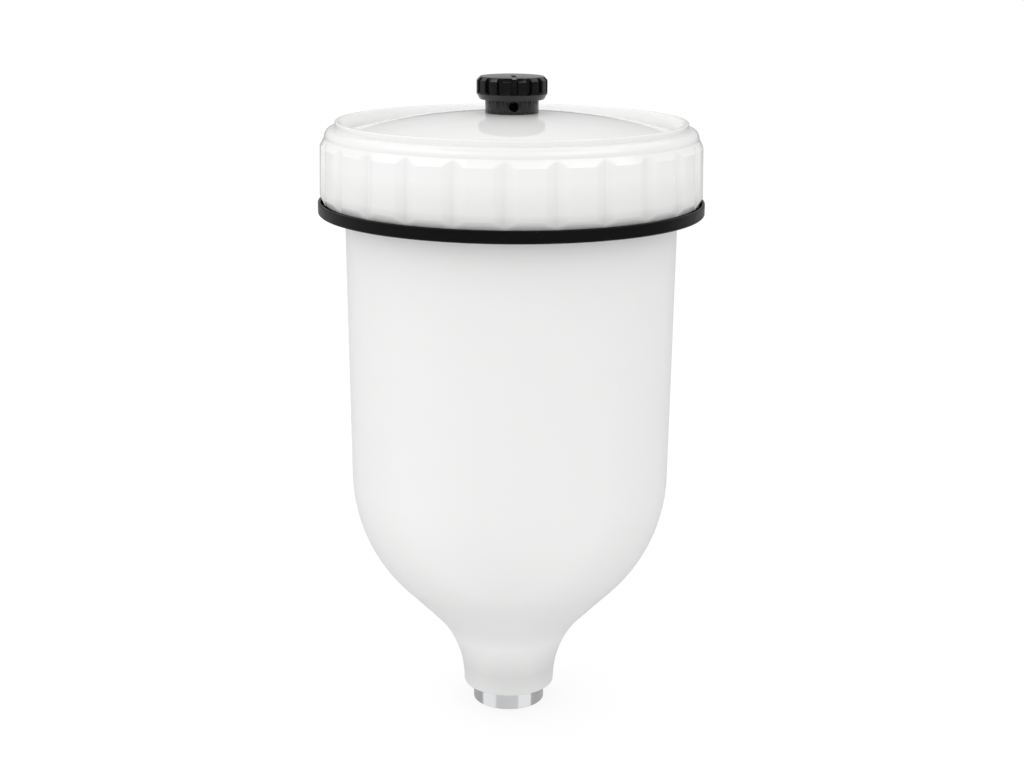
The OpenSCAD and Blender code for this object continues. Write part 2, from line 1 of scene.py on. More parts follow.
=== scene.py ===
"""Looks of a translucent paint cup with a screw lid, a drip ring and a turning vent knob.

Sizes are in millimetres and are scaled to metres when a mesh is made. Angles are in degrees and run
anticlockwise seen from above: from the front (-Y) for grooves and the vent, from +X for threads and ribs.
"""
import logging
import math
from collections.abc import Callable, Iterable, Sequence
from dataclasses import dataclass, field
from enum import Enum
from functools import cache

import bmesh
import bpy
from bmesh.types import BMesh, BMVert
from bpy.types import Material, Node, NodeOutputs, NodeSocket, Object, World
from mathutils import Matrix, Vector


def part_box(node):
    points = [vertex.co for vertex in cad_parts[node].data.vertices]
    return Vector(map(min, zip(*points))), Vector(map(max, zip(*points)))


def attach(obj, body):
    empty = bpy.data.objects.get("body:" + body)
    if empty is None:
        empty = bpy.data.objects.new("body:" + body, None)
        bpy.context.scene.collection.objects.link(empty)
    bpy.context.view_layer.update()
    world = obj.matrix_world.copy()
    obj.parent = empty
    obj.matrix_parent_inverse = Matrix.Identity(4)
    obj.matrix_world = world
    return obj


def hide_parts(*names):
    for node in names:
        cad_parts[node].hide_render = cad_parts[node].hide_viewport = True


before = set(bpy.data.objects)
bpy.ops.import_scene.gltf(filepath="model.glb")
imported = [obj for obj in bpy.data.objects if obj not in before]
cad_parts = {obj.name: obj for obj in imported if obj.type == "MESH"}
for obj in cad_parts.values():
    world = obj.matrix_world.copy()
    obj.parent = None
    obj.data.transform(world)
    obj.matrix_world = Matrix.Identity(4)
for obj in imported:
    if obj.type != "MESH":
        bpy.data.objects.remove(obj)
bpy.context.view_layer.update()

MM = 0.001
MICRON = 1e-6
FULL_TURN = 360.0
MERGE_DISTANCE = 1e-6
MAX_REACH = 0.49
WHITE = (1.0, 1.0, 1.0, 1.0)
Span = tuple[float, float]
Triple = tuple[float, float, float]
log = logging.getLogger("paint_cup")


class Body(Enum):
    """Bodies of the model that pieces ride on."""

    CUP = "cup"
    SEAL = "lid_seal"
    LID = "lid"
    KNOB = "vent_knob"


@dataclass(frozen=True)
class Corner:
    """One corner of an outline, with the radius of its rounding."""

    r: float
    z: float
    rounding: float = 0.0


def arc(centre: Span, radius: float, start: float, end: float, steps: int) -> list[Corner]:
    """Corners along an arc about a radius and height, between two angles from +R towards +Z."""
    angles = [math.radians(start + (end - start) * i / steps) for i in range(steps + 1)]
    return [Corner(centre[0] + radius * math.cos(a), centre[1] + radius * math.sin(a)) for a in angles]


def between(start: Span, end: Span, shares: Iterable[float]) -> list[Corner]:
    """Corners on a straight line, at shares of the way from its start to its end."""
    (r1, z1), (r2, z2) = start, end
    return [Corner(r1 + (r2 - r1) * t, z1 + (z2 - z1) * t) for t in shares]


def rounded(outline: Sequence[Corner], steps: int = 4) -> list[Vector]:
    """Points of a closed outline whose corners are rounded.

    Args:
        outline: The corners, in order.
        steps: Number of stretches in each rounding.

    Returns:
        Points with the radius in x and the height in y.
    """
    points: list[Vector] = []
    places = [Vector((corner.r, corner.z)) for corner in outline]
    for i, corner in enumerate(outline):
        here = places[i]
        if corner.rounding <= 0:
            points.append(here)
            continue
        back, ahead = places[i - 1] - here, places[(i + 1) % len(places)] - here
        wanted = corner.rounding / math.tan(back.angle(ahead) / 2)
        reach = min(wanted, MAX_REACH * back.length, MAX_REACH * ahead.length)
        first, last = here + back.normalized() * reach, here + ahead.normalized() * reach
        for k in range(steps + 1):
            t = k / steps
            points.append(first * (1 - t) ** 2 + here * 2 * t * (1 - t) + last * t**2)
    return points


def spin_round(bm: BMesh, geom: list, steps: int) -> None:
    """Spins an outline once around the cup's axis."""
    bmesh.ops.spin(
        bm, geom=geom, cent=(0, 0, 0), axis=(0, 0, 1), angle=math.tau, steps=steps,
        use_merge=True, use_duplicate=False,
    )


def turned(outline: Sequence[Corner], steps: int) -> BMesh:
    """Solid of revolution about the cup's axis, from a closed outline and a number of steps."""
    bm = bmesh.new()
    verts = [bm.verts.new((p.x * MM, 0, p.y * MM)) for p in rounded(outline)]
    edges = [bm.edges.new((verts[i - 1], verts[i])) for i in range(len(verts))]
    spin_round(bm, verts + edges, steps)
    bmesh.ops.remove_doubles(bm, verts=bm.verts, dist=MERGE_DISTANCE)
    bmesh.ops.recalc_face_normals(bm, faces=bm.faces)
    return bm


def grooved_solid(
    outline: Sequence[Corner], count: int, columns: Sequence[float], radius: float, phase: float,
    new_radius: Callable[[float, float, float], float],
) -> BMesh:
    """Solid of revolution with grooves that repeat around it.

    Args:
        outline: Closed outline of the solid without grooves.
        count: Number of grooves.
        columns: Distances of the mesh's columns from a groove's middle, starting with 0.
        radius: Radius at which these distances are measured.
        phase: Angle of the first groove's middle from the front.
        new_radius: Takes a point's radius and height and its angle in radians from the nearest groove's
            middle, and gives the point's new radius.

    Returns:
        A closed mesh whose columns lie where the grooves need them.
    """
    offsets = sorted([-d for d in columns if d > 0] + list(columns) + [math.pi * radius / count])
    total = count * len(offsets)
    bm = turned(outline, total)
    for vert in bm.verts:
        r = math.hypot(vert.co.x, vert.co.y)
        if r < MERGE_DISTANCE:
            continue
        column = round(math.atan2(vert.co.y, vert.co.x) / math.tau * total) % total
        sector, place = divmod(column, len(offsets))
        turn = offsets[place] / radius
        angle = math.radians(phase - 90 + sector * FULL_TURN / count) + turn
        r = new_radius(r / MM, vert.co.z / MM, turn) * MM
        vert.co.x, vert.co.y = r * math.cos(angle), r * math.sin(angle)
    return bm


def smooth_min(a: float, b: float, blend: float) -> float:
    """The smaller of two values, with a soft change from one to the other."""
    return 0.5 * (a + b - math.sqrt((a - b) ** 2 + blend**2))


def smooth_step(t: float) -> float:
    """Soft rise from 0 to 1 as t goes from 0 to 1."""
    t = min(max(t, 0.0), 1.0)
    return t * t * (3 - 2 * t)


def turn_mesh(bm: BMesh, degrees: float, axis: str = "Z") -> None:
    """Turns a mesh about an axis through the origin."""
    matrix = Matrix.Rotation(math.radians(degrees), 3, axis)
    bmesh.ops.rotate(bm, verts=bm.verts, cent=(0, 0, 0), matrix=matrix)


def shift_mesh(bm: BMesh, r: float, z: float) -> None:
    """Moves a mesh along +X and +Z."""
    bmesh.ops.translate(bm, verts=bm.verts, vec=(r * MM, 0, z * MM))


def bevel_edges(bm: BMesh, width: float) -> None:
    """Bevels all edges of a mesh."""
    bmesh.ops.bevel(
        bm, geom=bm.edges, offset=width * MM, affect="EDGES", segments=2, profile=0.5, material=-1,
    )


def block(size: Triple) -> BMesh:
    """Block about the origin."""
    bm = bmesh.new()
    bmesh.ops.create_cube(bm, size=1)
    bmesh.ops.scale(bm, verts=bm.verts, vec=Vector(size) * MM)
    return bm


def cone(low_r: float, high_r: float, low_z: float, height: float, segments: int) -> BMesh:
    """Cone or cylinder about the axis, with closed ends, that stands on a height."""
    bm = bmesh.new()
    bmesh.ops.create_cone(
        bm, cap_ends=True, segments=segments, radius1=low_r * MM, radius2=high_r * MM, depth=height * MM,
    )
    shift_mesh(bm, 0, low_z + height / 2)
    return bm


def laid_to_front(bm: BMesh, z: float, turn: float) -> BMesh:
    """Lays an upright mesh down to the front, lifts it and turns it about the axis."""
    turn_mesh(bm, 90, "X")
    shift_mesh(bm, 0, z)
    turn_mesh(bm, turn)
    return bm


def ribs_around(count: int, first: float, size: Triple, middle: Span, edge: float) -> list[BMesh]:
    """Blocks with bevelled edges, spread evenly around the axis.

    Args:
        count: Number of blocks.
        first: Turn of the first from +X, as a share of the step to the next.
        size: Length outwards, width and height.
        middle: Radius and height of their middles.
        edge: Width of the bevels.

    Returns:
        Their meshes.
    """
    ribs = []
    for i in range(count):
        rib = block(size)
        bevel_edges(rib, edge)
        shift_mesh(rib, *middle)
        turn_mesh(rib, (i + first) * FULL_TURN / count)
        ribs.append(rib)
    return ribs


def joined(meshes: Sequence[BMesh]) -> BMesh:
    """Puts several meshes into the first one and frees the others."""
    whole = meshes[0]
    for other in meshes[1:]:
        carrier = bpy.data.meshes.new("carrier")
        other.to_mesh(carrier)
        other.free()
        whole.from_mesh(carrier)
        bpy.data.meshes.remove(carrier)
    return whole


@dataclass(frozen=True)
class Helix:
    """A thread ridge that climbs to the right about the cup's axis."""

    root_r: float
    crest_r: float
    root_w: float
    crest_w: float
    pitch: float
    start_z: float
    start_turn: float
    turns: float
    steps_per_turn: int
    fade: float = 22.0
    buried: float = 0.25
    rounding: float = 0.2

    def mesh(self) -> BMesh:
        """Closed ridge whose ends run out into the wall."""
        slope = (self.root_w - self.crest_w) / 2 / abs(self.root_r - self.crest_r)
        inner = self.root_r + math.copysign(self.buried, self.root_r - self.crest_r)
        half = self.root_w / 2 + slope * self.buried
        section = [
            Corner(inner, -half), Corner(self.crest_r, -self.crest_w / 2, self.rounding),
            Corner(self.crest_r, self.crest_w / 2, self.rounding), Corner(inner, half),
        ]
        bm = bmesh.new()
        verts = [bm.verts.new((p.x * MM, 0, (p.y + self.start_z) * MM)) for p in rounded(section, 2)]
        first = bm.faces.new(verts)
        steps = round(self.steps_per_turn * self.turns)
        bmesh.ops.spin(
            bm, geom=[first], cent=(0, 0, 0), axis=(0, 0, -1), angle=-math.tau * self.turns, steps=steps,
            dvec=(0, 0, self.pitch * self.turns / steps * MM), use_merge=False, use_duplicate=False,
        )
        self._run_out(bm)
        turn_mesh(bm, self.start_turn)
        bmesh.ops.recalc_face_normals(bm, faces=bm.faces)
        return bm

    def _run_out(self, bm: BMesh) -> None:
        """Lets the ridge sink into its wall over the last degrees at each end."""
        end = FULL_TURN * self.turns
        height = self.crest_r - self.root_r
        sunk = self.root_r + math.copysign(self.buried / 2, -height)
        for vert in bm.verts:
            r = math.hypot(vert.co.x, vert.co.y) / MM
            angle = math.degrees(math.atan2(vert.co.y, vert.co.x)) % FULL_TURN
            climbed = (vert.co.z / MM - self.start_z) / self.pitch * FULL_TURN
            along = angle + FULL_TURN * round((climbed - angle) / FULL_TURN)
            share = smooth_step(min(along, end - along) / self.fade)
            if height * (r - self.root_r) > 0 and abs(r - self.root_r) < abs(height) + MERGE_DISTANCE:
                scale = (sunk + (r - sunk) * share) / r
                vert.co.x, vert.co.y = vert.co.x * scale, vert.co.y * scale


@dataclass(frozen=True)
class ScrewThread:
    """The thread between cup and lid, with the same ridge on both."""

    pitch: float = 5.0
    depth: float = 1.4
    clearance: float = 0.4
    root_w: float = 2.6
    crest_w: float = 1.2
    run_out: float = 26.0
    steps_per_turn: int = 120

    def ridge(self, root_r: float, depth: float, zero_z: float, start: float, sweep: float) -> BMesh:
        """Ridge of one half of the thread.

        Args:
            root_r: Radius of the wall that it stands on.
            depth: How far it stands out, negative towards the axis.
            zero_z: Height at which its helix passes +X.
            start: Angle of its start.
            sweep: Degrees that it covers without its run-outs.

        Returns:
            The mesh.
        """
        start_z = zero_z + self.pitch * start / FULL_TURN
        turns = (sweep + self.run_out) / FULL_TURN
        return Helix(
            root_r, root_r + depth, self.root_w, self.crest_w, self.pitch, start_z, start, turns,
            self.steps_per_turn,
        ).mesh()


THREAD = ScrewThread()


class Tree:
    """Short way to add nodes to a material or the world."""

    def __init__(self, owner: Material | World) -> None:
        """Clears the owner's nodes."""
        owner.use_nodes = True
        self.nodes, self.links = owner.node_tree.nodes, owner.node_tree.links
        self.nodes.clear()

    def add(self, kind: str, inputs: dict | None = None, **settings: object) -> Node:
        """Adds a node.

        Args:
            kind: Blender's name of the node type.
            inputs: Values or output sockets for the node's inputs, by name or number.
            settings: The node's own settings.

        Returns:
            The node.
        """
        node = self.nodes.new(kind)
        for name, value in settings.items():
            setattr(node, name, value)
        for key, value in (inputs or {}).items():
            if isinstance(value, NodeSocket):
                self.links.new(value, node.inputs[key])
            else:
                node.inputs[key].default_value = value
        return node

    def math(self, operation: str, *values: float | NodeSocket) -> NodeSocket:
        """Adds a Math node and returns its output."""
        return self.add("ShaderNodeMath", dict(enumerate(values)), operation=operation).outputs[0]

    def ramp(self, value: NodeSocket, span: Span, low: float = 0.0, high: float = 1.0) -> NodeSocket:
        """Adds a clamped change from one level to another over a span and returns its output."""
        inputs = {"Value": value, "From Min": span[0], "From Max": span[1], "To Min": low, "To Max": high}
        return self.add("ShaderNodeMapRange", inputs).outputs["Result"]

    def mixed(self, low: float | NodeSocket, high: float | NodeSocket, share: NodeSocket) -> NodeSocket:
        """Mixes two levels by a share and returns the result."""
        return self.add("ShaderNodeMix", {0: share, 2: low, 3: high}, data_type="FLOAT").outputs[0]

    def tint(self, share: NodeSocket, dark: Sequence[float], light: Sequence[float]) -> NodeSocket:
        """Mixes two colours by a share and returns the result."""
        inputs = {0: share, 6: (*dark, 1), 7: (*light, 1)}
        return self.add("ShaderNodeMix", inputs, data_type="RGBA").outputs[2]

    def noise(self, scale: float, detail: float = 2.0, stretch: Triple = (1, 1, 1)) -> NodeSocket:
        """Adds a noise on Object coordinates, stretched along each axis, and returns its value."""
        coords = self.add("ShaderNodeTexCoord").outputs["Object"]
        mapped = self.add("ShaderNodeMapping", {"Vector": coords, "Scale": stretch}).outputs[0]
        inputs = {"Vector": mapped, "Scale": scale, "Detail": detail}
        return self.add("ShaderNodeTexNoise", inputs).outputs["Fac"]

    def bump(self, height: NodeSocket, microns: float, strength: float = 1.0) -> NodeSocket:
        """Adds a Bump node and returns its normal."""
        inputs = {"Height": height, "Distance": microns * MICRON, "Strength": strength}
        return self.add("ShaderNodeBump", inputs).outputs[0]


@dataclass(frozen=True)
class Finish:
    """Looks of a piece, and the record's material slot that they belong to."""

    name: str
    slot: str
    colour: Triple
    roughness: float

    @cache
    def material(self) -> Material:
        """The node material, built once. The record's material slots may have the same name."""
        mat = bpy.data.materials.new(self.name)
        tree = Tree(mat)
        shader = tree.add("ShaderNodeBsdfPrincipled", self.inputs(tree))
        tree.add("ShaderNodeOutputMaterial", {"Surface": shader.outputs[0]})
        return mat

    def inputs(self, tree: Tree) -> dict[str, object]:
        """Values and sockets for the inputs of the material's shader."""
        raise NotImplementedError

    def uneven(
        self, tree: Tree, pattern: NodeSocket, low: float, high: float, top: float = 0.7,
    ) -> NodeSocket:
        """Roughness that follows a pattern, from a low to a high share of the finish's own."""
        return tree.ramp(pattern, (0.3, top), self.roughness * low, self.roughness * high)

    def darker(self, level: float) -> list[float]:
        """The finish's colour, dimmed."""
        return [c * level for c in self.colour]


@dataclass(frozen=True)
class PaintedShade:
    """Painted shade on a milky wall: heights between which a dimming of its colour fades out, outside a
    radius; a level above 1 paints light instead.
    """

    dark_z: float
    clear_z: float
    level: float
    inner_r: float = 0.0


@dataclass(frozen=True)
class MilkyPlastic(Finish):
    """Natural white plastic that lets some light through, with faint clouds, a moulded skin and painted shade
    by height.
    """

    scatter_mm: float
    scatter_weight: float
    painted_shades: tuple[PaintedShade, ...] = ()
    cloud: float = 0.012
    skin_um: float = 1.5
    ior: float = 1.49

    def inputs(self, tree: Tree) -> dict[str, object]:
        """Clouded colour under its painted shades, light that scatters inside, and a fine skin."""
        light = [min(c * (1 + self.cloud), 1.0) for c in self.colour]
        colour = tree.tint(tree.noise(38.0, 3.0, (1, 1, 0.45)), self.darker(1 - self.cloud), light)
        place = tree.add("ShaderNodeTexCoord").outputs["Object"]
        height = tree.add("ShaderNodeSeparateXYZ", {0: place}).outputs["Z"]
        flat = tree.add("ShaderNodeVectorMath", {0: place, 1: (1, 1, 0)}, operation="MULTIPLY").outputs[0]
        radius = tree.add("ShaderNodeVectorMath", {0: flat}, operation="LENGTH").outputs["Value"]
        # Painted shade: scales the colour by each band's level below its dark height, fading out towards its
        # clear height
        for shade in self.painted_shades:
            share = tree.ramp(height, (shade.dark_z * MM, shade.clear_z * MM), 1.0, 0.0)
            if shade.inner_r > 0:
                share = tree.math("MULTIPLY", share, tree.math("GREATER_THAN", radius, shade.inner_r * MM))
            level = tree.math("MULTIPLY_ADD", share, shade.level - 1.0, 1.0)
            dimmed = tree.add("ShaderNodeVectorMath", {0: colour, "Scale": level}, operation="SCALE")
            colour = dimmed.outputs[0]
        return {
            "Base Color": colour, "Roughness": self.uneven(tree, tree.noise(60.0), 0.92, 1.08),
            "Subsurface Weight": self.scatter_weight, "Subsurface Scale": self.scatter_mm * MM,
            "Subsurface Radius": (1.0, 1.0, 1.0), "IOR": self.ior,
            "Normal": tree.bump(tree.noise(1400.0), self.skin_um),
        }


@dataclass(frozen=True)
class BlackMoulding(Finish):
    """Black plastic or rubber with a fine grain, scuffs that change its gloss, and specks of dust."""

    grain_um: float
    dust: float = 0.0
    specular: float = 0.5
    ior: float = 1.5
    dust_colour: Triple = (0.32, 0.32, 0.31)

    def inputs(self, tree: Tree) -> dict[str, object]:
        """Black under patches of dust, with a scuffed gloss and a grain."""
        thinner = 0.05 * self.dust
        specks = tree.ramp(tree.noise(1500.0, 1.0), (0.79 - thinner, 0.82 - thinner), 0.0, self.dust)
        patches = tree.ramp(tree.noise(160.0), (0.45, 0.62))
        scuffs = tree.noise(420.0, 4.0, (1, 1, 2.2))
        return {
            "Base Color": tree.tint(tree.math("MULTIPLY", specks, patches), self.colour, self.dust_colour),
            "Roughness": self.uneven(tree, scuffs, 0.88, 1.15, 0.72), "IOR": self.ior,
            "Specular IOR Level": self.specular, "Normal": tree.bump(tree.noise(5200.0), self.grain_um),
        }


@dataclass(frozen=True)
class TurnedMetal(Finish):
    """Bright metal with the fine rings that a turning tool leaves."""

    ring_um: float
    ring_strength: float = 0.35

    def inputs(self, tree: Tree) -> dict[str, object]:
        """Faintly stained metal with rings in its gloss and its height."""
        rings = tree.noise(90.0, 3.0, (0.25, 0.25, 60.0))
        stains = tree.ramp(tree.noise(120.0, 4.0), (0.35, 0.65))
        return {
            "Base Color": tree.tint(stains, self.darker(0.95), self.colour), "Metallic": 1.0,
            "Roughness": self.uneven(tree, rings, 0.85, 1.2),
            "Normal": tree.bump(rings, self.ring_um, self.ring_strength),
        }


@dataclass(frozen=True)
class SoftRubber(Finish):
    """Pale seal rubber with a matt, slightly uneven skin."""

    scatter_mm: float = 1.0
    scatter_weight: float = 0.15
    skin_um: float = 4.0

    def inputs(self, tree: Tree) -> dict[str, object]:
        """Mottled colour, a little scattering and an uneven skin."""
        skin = tree.noise(2600.0, 3.0)
        return {
            "Base Color": tree.tint(tree.noise(210.0, 3.0), self.darker(0.94), self.colour),
            "Roughness": self.uneven(tree, skin, 0.92, 1.1), "Subsurface Weight": self.scatter_weight,
            "Subsurface Scale": self.scatter_mm * MM, "Normal": tree.bump(skin, self.skin_um),
        }


class Finishes:
    """The finishes of the cup."""

    # Painted shade: the neck's colour darkens below 21 mm, most below 11 mm, and its lowest 6 mm is painted a
    # little lighter
    CUP = MilkyPlastic(
        "milky_cup", "cup_plastic", (0.89, 0.89, 0.885), 0.30, 3.0, 0.2,
        (PaintedShade(11.0, 21.0, 0.79), PaintedShade(6.0, 10.5, 1.05)),
    )
    # Painted shade: the skirt darkens towards its lower edge above the drip ring, and the rim is dimmed above
    # 159 mm outside r 45.8
    LID = MilkyPlastic(
        "milky_lid", "lid_plastic", (0.922, 0.92, 0.914), 0.04, 1.0, 0.25,
        (PaintedShade(146.0, 155.0, 0.86), PaintedShade(145.0, 147.5, 0.84), PaintedShade(162.5, 159.0, 0.955, 45.8)),
    )
    NATURAL = MilkyPlastic("natural_strainer", "strainer_plastic", (0.82, 0.83, 0.80), 0.38, 1.0, 0.3)
    GAUZE = MilkyPlastic("gauze_thread", "strainer_gauze", (0.74, 0.74, 0.71), 0.45, 0.3, 0.2)
    KNOB = BlackMoulding("knob_black", "knob_plastic", (0.004, 0.004, 0.0045), 0.16, 0.8, 0.0, 0.55)
    RING = BlackMoulding("ring_black", "ring_rubber", (0.003, 0.003, 0.003), 0.33, 4.0, 0.6, 0.15)
    VENT = BlackMoulding("vent_black", "vent_plastic", (0.014, 0.014, 0.014), 0.40, 3.0)
    SEAL = BlackMoulding("seal_black", "seal_rubber", (0.012, 0.012, 0.012), 0.55, 4.0)
    METAL = TurnedMetal("outlet_metal", "outlet_metal", (0.70, 0.705, 0.715), 0.14, 0.5)
    GASKET = SoftRubber("gasket_white", "gasket_rubber", (0.80, 0.80, 0.775), 0.62)


def loose_object(bm: BMesh, name: str) -> Object:
    """Puts a mesh into the scene as an object and frees it."""
    mesh = bpy.data.meshes.new(name)
    bm.to_mesh(mesh)
    bm.free()
    loose = bpy.data.objects.new(name, mesh)
    bpy.context.scene.collection.objects.link(loose)
    return loose


def cut_out(piece: Object, cutter: Object) -> None:
    """Cuts one object out of another for good and removes the cutter."""
    boolean = piece.modifiers.new("cut", "BOOLEAN")
    boolean.operation, boolean.solver, boolean.object = "DIFFERENCE", "EXACT", cutter
    bpy.context.view_layer.update()
    evaluated = piece.evaluated_get(bpy.context.evaluated_depsgraph_get())
    result = bpy.data.meshes.new_from_object(evaluated)
    piece.modifiers.clear()
    result.name = piece.name
    piece.data = result
    bpy.data.objects.remove(cutter)


def place_piece(
    bm: BMesh, name: str, finish: Finish, body: Body, stands_for: str = "", sharp: float = 35.0,
    cutters: Sequence[BMesh] = (),
) -> None:
    """Makes a piece of a finished mesh and puts it on its body.

    Args:
        bm: The mesh, in its place, in metres. It is freed.
        name: Name of the piece.
        finish: Its finish.
        body: The body that it rides on.
        stands_for: CAD node that it replaces, if any.
        sharp: Angle in degrees above which an edge stays sharp.
        cutters: Meshes that are cut out of the piece. They are freed.
    """
    piece = loose_object(bm, name)
    for cutter in cutters:
        cut_out(piece, loose_object(cutter, "cutter"))
    mesh = piece.data
    mesh.materials.clear()
    mesh.materials.append(finish.material())
    mesh.shade_smooth()
    mesh.set_sharp_from_angle(angle=math.radians(sharp))
    weighted = piece.modifiers.new("even_normals", "WEIGHTED_NORMAL")
    weighted.keep_sharp = True
    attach(piece, body.value)
    if stands_for:
        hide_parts(stands_for)
    log.info("%s: %d faces on %s", name, len(mesh.polygons), body.value)


@dataclass
class Cup:
    """The translucent cup with its metal outlet and the strainer that is plugged into it."""

    neck_r: float = 12.7
    neck_z: float = 5.3
    neck_edge: float = 0.5
    flare_r: float = 30.7
    funnel_angle: float = 44.0
    side_r: float = 44.33
    belly_r: float = 44.6
    draft: float = 0.57
    wall: float = 1.8
    floor_z: float = 23.0
    floor_step: float = 1.2
    shoulder_z: float = 145.0
    collar_step: float = 1.85
    collar_wall: float = 2.4
    brim_z: float = 158.0
    brim_edge: float = 0.6
    thread_rise: float = 3.3
    thread_start: float = -13.0
    thread_sweep: float = 540.0
    outlet_r: float = 10.0
    outlet_top: float = 20.0
    outlet_bevel: float = 0.1
    passage_r: float = 6.0
    bore_end: float = 12.2
    bore_tip: float = 13.9
    bore_minor_r: float = 7.19
    bore_major_r: float = 8.0
    fit: float = 0.02
    around: int = 240

    def curve(self, wall: float, first_angle: float) -> list[Corner]:
        """Curved part of the outline, from the neck to the drafted side, moved inwards by a wall."""
        a, lean = math.radians(self.funnel_angle), math.radians(self.draft)
        flare_c = (self.neck_r + self.flare_r, self.neck_z + self.neck_edge)
        reach = self.flare_r + self.belly_r
        bend_r = flare_c[0] - reach * math.cos(a) + self.belly_r * math.cos(lean)
        bend_z = flare_c[1] + reach * math.sin(a) - self.belly_r * math.sin(lean)
        missing = self.side_r - bend_r - (self.shoulder_z - bend_z) * math.tan(lean)
        straight = missing / (math.sin(a) - math.cos(a) * math.tan(lean))
        belly_c = (
            flare_c[0] - reach * math.cos(a) + straight * math.sin(a),
            flare_c[1] + reach * math.sin(a) + straight * math.cos(a),
        )
        return [
            *arc(flare_c, self.flare_r + wall, 180 - first_angle, 180 - self.funnel_angle, 20),
            *arc(belly_c, self.belly_r - wall, -self.funnel_angle, -self.draft, 32),
        ]

    @property
    def collar_r(self) -> float:
        """Outer radius of the collar that carries the thread."""
        return self.side_r + self.collar_step

    def build(self) -> None:
        """Makes the shell, its thread, the outlet and the strainer."""
        place_piece(turned(self.shell(), self.around), "cup_shell", Finishes.CUP, Body.CUP, "cup_body")
        start_z = self.shoulder_z + self.thread_rise
        thread = THREAD.ridge(self.collar_r, THREAD.depth, start_z, self.thread_start, self.thread_sweep)
        place_piece(thread, "cup_thread", Finishes.CUP, Body.CUP)
        self.build_outlet()
        Strainer(self.passage_r, self.outlet_top).build()

    def shell(self) -> list[Corner]:
        """Closed outline of the cup with its rounded edges."""
        rise = self.floor_z - self.neck_z - self.neck_edge
        floor_angle = math.degrees(math.asin(rise / (self.flare_r + self.wall)))
        bore_r = self.collar_r - self.collar_wall
        edge_c = (self.neck_r - self.neck_edge, self.neck_z + self.neck_edge)
        return [
            Corner(self.outlet_r + self.fit, self.neck_z, 0.15), Corner(edge_c[0], self.neck_z),
            *arc(edge_c, self.neck_edge, -80, -10, 4),
            *self.curve(0, 0),
            Corner(self.side_r, self.shoulder_z, 0.3), Corner(self.collar_r, self.shoulder_z, 0.3),
            Corner(self.collar_r, self.brim_z, self.brim_edge), Corner(bore_r, self.brim_z, self.brim_edge),
            Corner(bore_r, self.shoulder_z + self.collar_wall, 2.0),
            Corner(self.side_r - self.wall, self.shoulder_z, 2.0),
            *reversed(self.curve(self.wall, floor_angle)),
            Corner(self.outlet_r + self.floor_step, self.outlet_top, 1.0),
            Corner(self.outlet_r + self.fit, self.outlet_top, 0.1),
        ]

    def build_outlet(self) -> None:
        """Turned metal outlet with its bevels and the inner thread."""
        major = self.bore_major_r
        outline = [
            Corner(major, 0, 0.1), Corner(self.outlet_r - self.outlet_bevel, 0, 0.05),
            Corner(self.outlet_r, self.outlet_bevel, 0.05), Corner(self.outlet_r, self.outlet_top, 0.25),
            Corner(self.passage_r, self.outlet_top, 0.2), Corner(self.passage_r, self.bore_tip),
            Corner(major, self.bore_end),
        ]
        ridge = Helix(
            root_r=major, crest_r=self.bore_minor_r, root_w=1.31, crest_w=0.36, pitch=1.5, start_z=0.72,
            start_turn=0, turns=7.3, steps_per_turn=60, fade=60, buried=0.15, rounding=0.06,
        )
        barrel = joined([turned(outline, 144), ridge.mesh()])
        place_piece(barrel, "outlet_barrel", Finishes.METAL, Body.CUP, "outlet_fitting")


@dataclass
class Strainer:
    """Plug-in paint strainer: a ribbed cage with a woven gauze tube."""

    passage_r: float
    seat_z: float
    height: float = 25.5
    plug_depth: float = 4.5
    flange_r: float = 8.6
    plate: float = 1.3
    ribs: int = 6
    rib_w: float = 1.2
    rib_edge: float = 0.2
    fit: float = 0.05
    mesh_wall: float = 0.3
    wire: float = 0.14
    wires_around: int = 60
    wires_up: int = 48

    def build(self) -> None:
        """Makes the cage and the gauze."""
        plug_r = self.passage_r - self.fit
        bore_r = plug_r - self.plate
        low, lip, top = self.seat_z - self.plug_depth, self.seat_z + self.plate, self.seat_z + self.height
        foot = [
            Corner(bore_r, low, 0.2), Corner(plug_r, low, 0.3), Corner(plug_r, self.seat_z, 0.1),
            Corner(self.flange_r, self.seat_z, 0.3), Corner(self.flange_r, lip, 0.4),
            Corner(bore_r, lip, 0.2),
        ]
        under = top - self.plate
        cap = [Corner(0, under), Corner(plug_r, under, 0.3), Corner(plug_r, top, 0.4), Corner(0, top)]
        inner = bore_r + self.mesh_wall
        size = (plug_r - inner, self.rib_w, self.height - self.plate)
        middle = ((plug_r + inner) / 2, self.seat_z + self.height / 2)
        cage = [turned(foot, 96), turned(cap, 96), *ribs_around(self.ribs, 0.0, size, middle, self.rib_edge)]
        place_piece(joined(cage), "strainer_cage", Finishes.NATURAL, Body.CUP, "strainer_frame")
        self.build_gauze(bore_r + self.mesh_wall / 2, lip, under)

    def build_gauze(self, radius: float, bottom: float, top: float) -> None:
        """Gauze tube of crossing wires between two heights, about a middle radius."""
        bm = bmesh.new()
        first = bm.verts.new((radius * MM, 0, bottom * MM))
        rise = bmesh.ops.extrude_vert_indiv(bm, verts=[first])
        bmesh.ops.translate(bm, verts=rise["verts"], vec=(0, 0, (top - bottom) * MM))
        bmesh.ops.subdivide_edges(bm, edges=bm.edges, cuts=self.wires_up - 1)
        spin_round(bm, bm.verts[:] + bm.edges[:], self.wires_around)
        bmesh.ops.recalc_face_normals(bm, faces=bm.faces)
        bmesh.ops.wireframe(
            bm, faces=bm.faces, thickness=self.wire * MM, use_replace=True, use_boundary=True,
            use_even_offset=True,
        )
        place_piece(bm, "strainer_gauze", Finishes.GAUZE, Body.CUP, "strainer_mesh")


